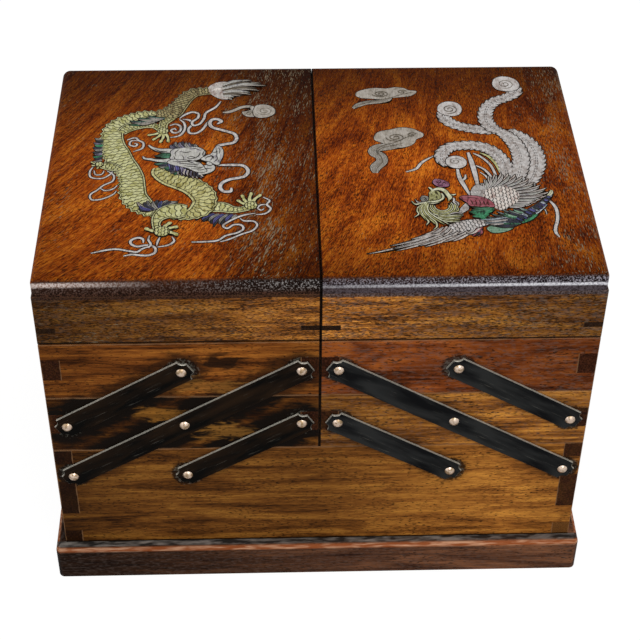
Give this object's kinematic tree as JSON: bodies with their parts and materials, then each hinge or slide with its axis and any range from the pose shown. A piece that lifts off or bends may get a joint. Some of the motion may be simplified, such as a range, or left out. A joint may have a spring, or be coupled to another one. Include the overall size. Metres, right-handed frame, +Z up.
{
  "type": "expanding box",
  "caption": "Wooden cantilever box whose two halves of stacked trays swing outwards on metal arms, under hinged lids inlaid with shell.",
  "frame": {"origin": "middle of the plinth's underside, the face it stands on", "axes": "+Z up, +X to the right along the width, -Y towards the front, so +Y to the rear"},
  "size_m": [0.312, 0.212, 0.2275],
  "materials": {
    "black_metal": "blackened sheet metal, edges worn bright",
    "board_wood": "lacquered golden red-brown hardwood, open dark pores",
    "hinge_brass": "aged brass",
    "lid_wood": "glossy orange-red hardwood",
    "panel_wood": "plain thin board",
    "pin_brass": "worn domed brass",
    "plinth_wood": "lacquered dark red-brown hardwood, bright worn upper edge",
    "shell_inlay": "polished mother-of-pearl and dyed shell, engraved"
  },
  "bodies": {
    "base": {"base_front": "board_wood", "base_left_side": "board_wood", "base_pivot_pins": "pin_brass", "base_rear": "board_wood", "base_right_side": "board_wood", "plinth": "plinth_wood"},
    "right_lower_tray": {"right_lower_tray_bottom": "panel_wood", "right_lower_tray_front": "board_wood", "right_lower_tray_inner_side": "board_wood", "right_lower_tray_outer_side": "board_wood", "right_lower_tray_pivot_pins": "pin_brass", "right_lower_tray_rear": "board_wood"},
    "right_upper_tray": {"right_upper_tray_bottom": "panel_wood", "right_upper_tray_front": "board_wood", "right_upper_tray_inner_side": "board_wood", "right_upper_tray_outer_side": "board_wood", "right_upper_tray_pivot_pins": "pin_brass", "right_upper_tray_rear": "board_wood", "right_hinge_tray_leaves": "hinge_brass", "right_hinge_pins": "hinge_brass"},
    "right_lid": {"right_lid_front_rim": "board_wood", "right_lid_inner_rim": "board_wood", "right_lid_outer_rim": "board_wood", "right_lid_rear_rim": "board_wood", "right_lid_top": "lid_wood", "right_hinge_lid_leaves": "hinge_brass", "phoenix_inlay": "shell_inlay"},
    "right_long_arms": {"front_right_long_arm": "black_metal", "rear_right_long_arm": "black_metal"},
    "right_lower_short_arms": {"front_right_lower_short_arm": "black_metal", "rear_right_lower_short_arm": "black_metal"},
    "right_upper_short_arms": {"front_right_upper_short_arm": "black_metal", "rear_right_upper_short_arm": "black_metal"},
    "left_lower_tray": {"left_lower_tray_bottom": "panel_wood", "left_lower_tray_front": "board_wood", "left_lower_tray_inner_side": "board_wood", "left_lower_tray_outer_side": "board_wood", "left_lower_tray_pivot_pins": "pin_brass", "left_lower_tray_rear": "board_wood"},
    "left_upper_tray": {"left_upper_tray_bottom": "panel_wood", "left_upper_tray_front": "board_wood", "left_upper_tray_inner_side": "board_wood", "left_upper_tray_outer_side": "board_wood", "left_upper_tray_pivot_pins": "pin_brass", "left_upper_tray_rear": "board_wood", "left_hinge_tray_leaves": "hinge_brass", "left_hinge_pins": "hinge_brass"},
    "left_lid": {"left_lid_front_rim": "board_wood", "left_lid_inner_rim": "board_wood", "left_lid_outer_rim": "board_wood", "left_lid_rear_rim": "board_wood", "left_lid_top": "lid_wood", "left_hinge_lid_leaves": "hinge_brass", "dragon_inlay": "shell_inlay"},
    "left_long_arms": {"front_left_long_arm": "black_metal", "rear_left_long_arm": "black_metal"},
    "left_lower_short_arms": {"front_left_lower_short_arm": "black_metal", "rear_left_lower_short_arm": "black_metal"},
    "left_upper_short_arms": {"front_left_upper_short_arm": "black_metal", "rear_left_upper_short_arm": "black_metal"}
  },
  "joints": [
    {"name": "right_tray_swing", "type": "hinge", "parent": "base", "child": "right_long_arms", "pos_m": [0.14, 0, 0.083], "axis": [0, 1, 0], "range_deg": [0, 116.53]},
    {"name": "right_lower_tray_level", "type": "hinge", "parent": "right_long_arms", "child": "right_lower_tray", "pos_m": [0.075, 0, 0.1232], "axis": [0, 1, 0], "range_deg": [-116.53, 0]},
    {"name": "right_upper_tray_level", "type": "hinge", "parent": "right_long_arms", "child": "right_upper_tray", "pos_m": [0.01, 0, 0.1634], "axis": [0, 1, 0], "range_deg": [-116.53, 0]},
    {"name": "right_lower_short_swing", "type": "hinge", "parent": "base", "child": "right_lower_short_arms", "pos_m": [0.075, 0, 0.083], "axis": [0, 1, 0], "range_deg": [0, 116.53]},
    {"name": "right_upper_short_swing", "type": "hinge", "parent": "right_lower_tray", "child": "right_upper_short_arms", "pos_m": [0.14, 0, 0.1232], "axis": [0, 1, 0], "range_deg": [0, 116.53]},
    {"name": "right_lid_hinge", "type": "hinge", "parent": "right_upper_tray", "child": "right_lid", "pos_m": [0.1518, 0, 0.18375], "axis": [0, 1, 0], "range_deg": [0, 180]},
    {"name": "left_tray_swing", "type": "hinge", "parent": "base", "child": "left_long_arms", "pos_m": [-0.14, 0, 0.083], "axis": [0, -1, 0], "range_deg": [0, 116.53]},
    {"name": "left_lower_tray_level", "type": "hinge", "parent": "left_long_arms", "child": "left_lower_tray", "pos_m": [-0.075, 0, 0.1232], "axis": [0, -1, 0], "range_deg": [-116.53, 0]},
    {"name": "left_upper_tray_level", "type": "hinge", "parent": "left_long_arms", "child": "left_upper_tray", "pos_m": [-0.01, 0, 0.1634], "axis": [0, -1, 0], "range_deg": [-116.53, 0]},
    {"name": "left_lower_short_swing", "type": "hinge", "parent": "base", "child": "left_lower_short_arms", "pos_m": [-0.075, 0, 0.083], "axis": [0, -1, 0], "range_deg": [0, 116.53]},
    {"name": "left_upper_short_swing", "type": "hinge", "parent": "left_lower_tray", "child": "left_upper_short_arms", "pos_m": [-0.14, 0, 0.1232], "axis": [0, -1, 0], "range_deg": [0, 116.53]},
    {"name": "left_lid_hinge", "type": "hinge", "parent": "left_upper_tray", "child": "left_lid", "pos_m": [-0.1518, 0, 0.1839], "axis": [0, -1, 0], "range_deg": [0, 180]}
  ],
  "couplings": [
    {"joint": "right_lower_tray_level", "follows": "right_tray_swing", "ratio": -1},
    {"joint": "right_upper_tray_level", "follows": "right_tray_swing", "ratio": -1},
    {"joint": "right_lower_short_swing", "follows": "right_tray_swing", "ratio": 1},
    {"joint": "right_upper_short_swing", "follows": "right_tray_swing", "ratio": 1},
    {"joint": "left_lower_tray_level", "follows": "left_tray_swing", "ratio": -1},
    {"joint": "left_upper_tray_level", "follows": "left_tray_swing", "ratio": -1},
    {"joint": "left_lower_short_swing", "follows": "left_tray_swing", "ratio": 1},
    {"joint": "left_upper_short_swing", "follows": "left_tray_swing", "ratio": 1}
  ]
}
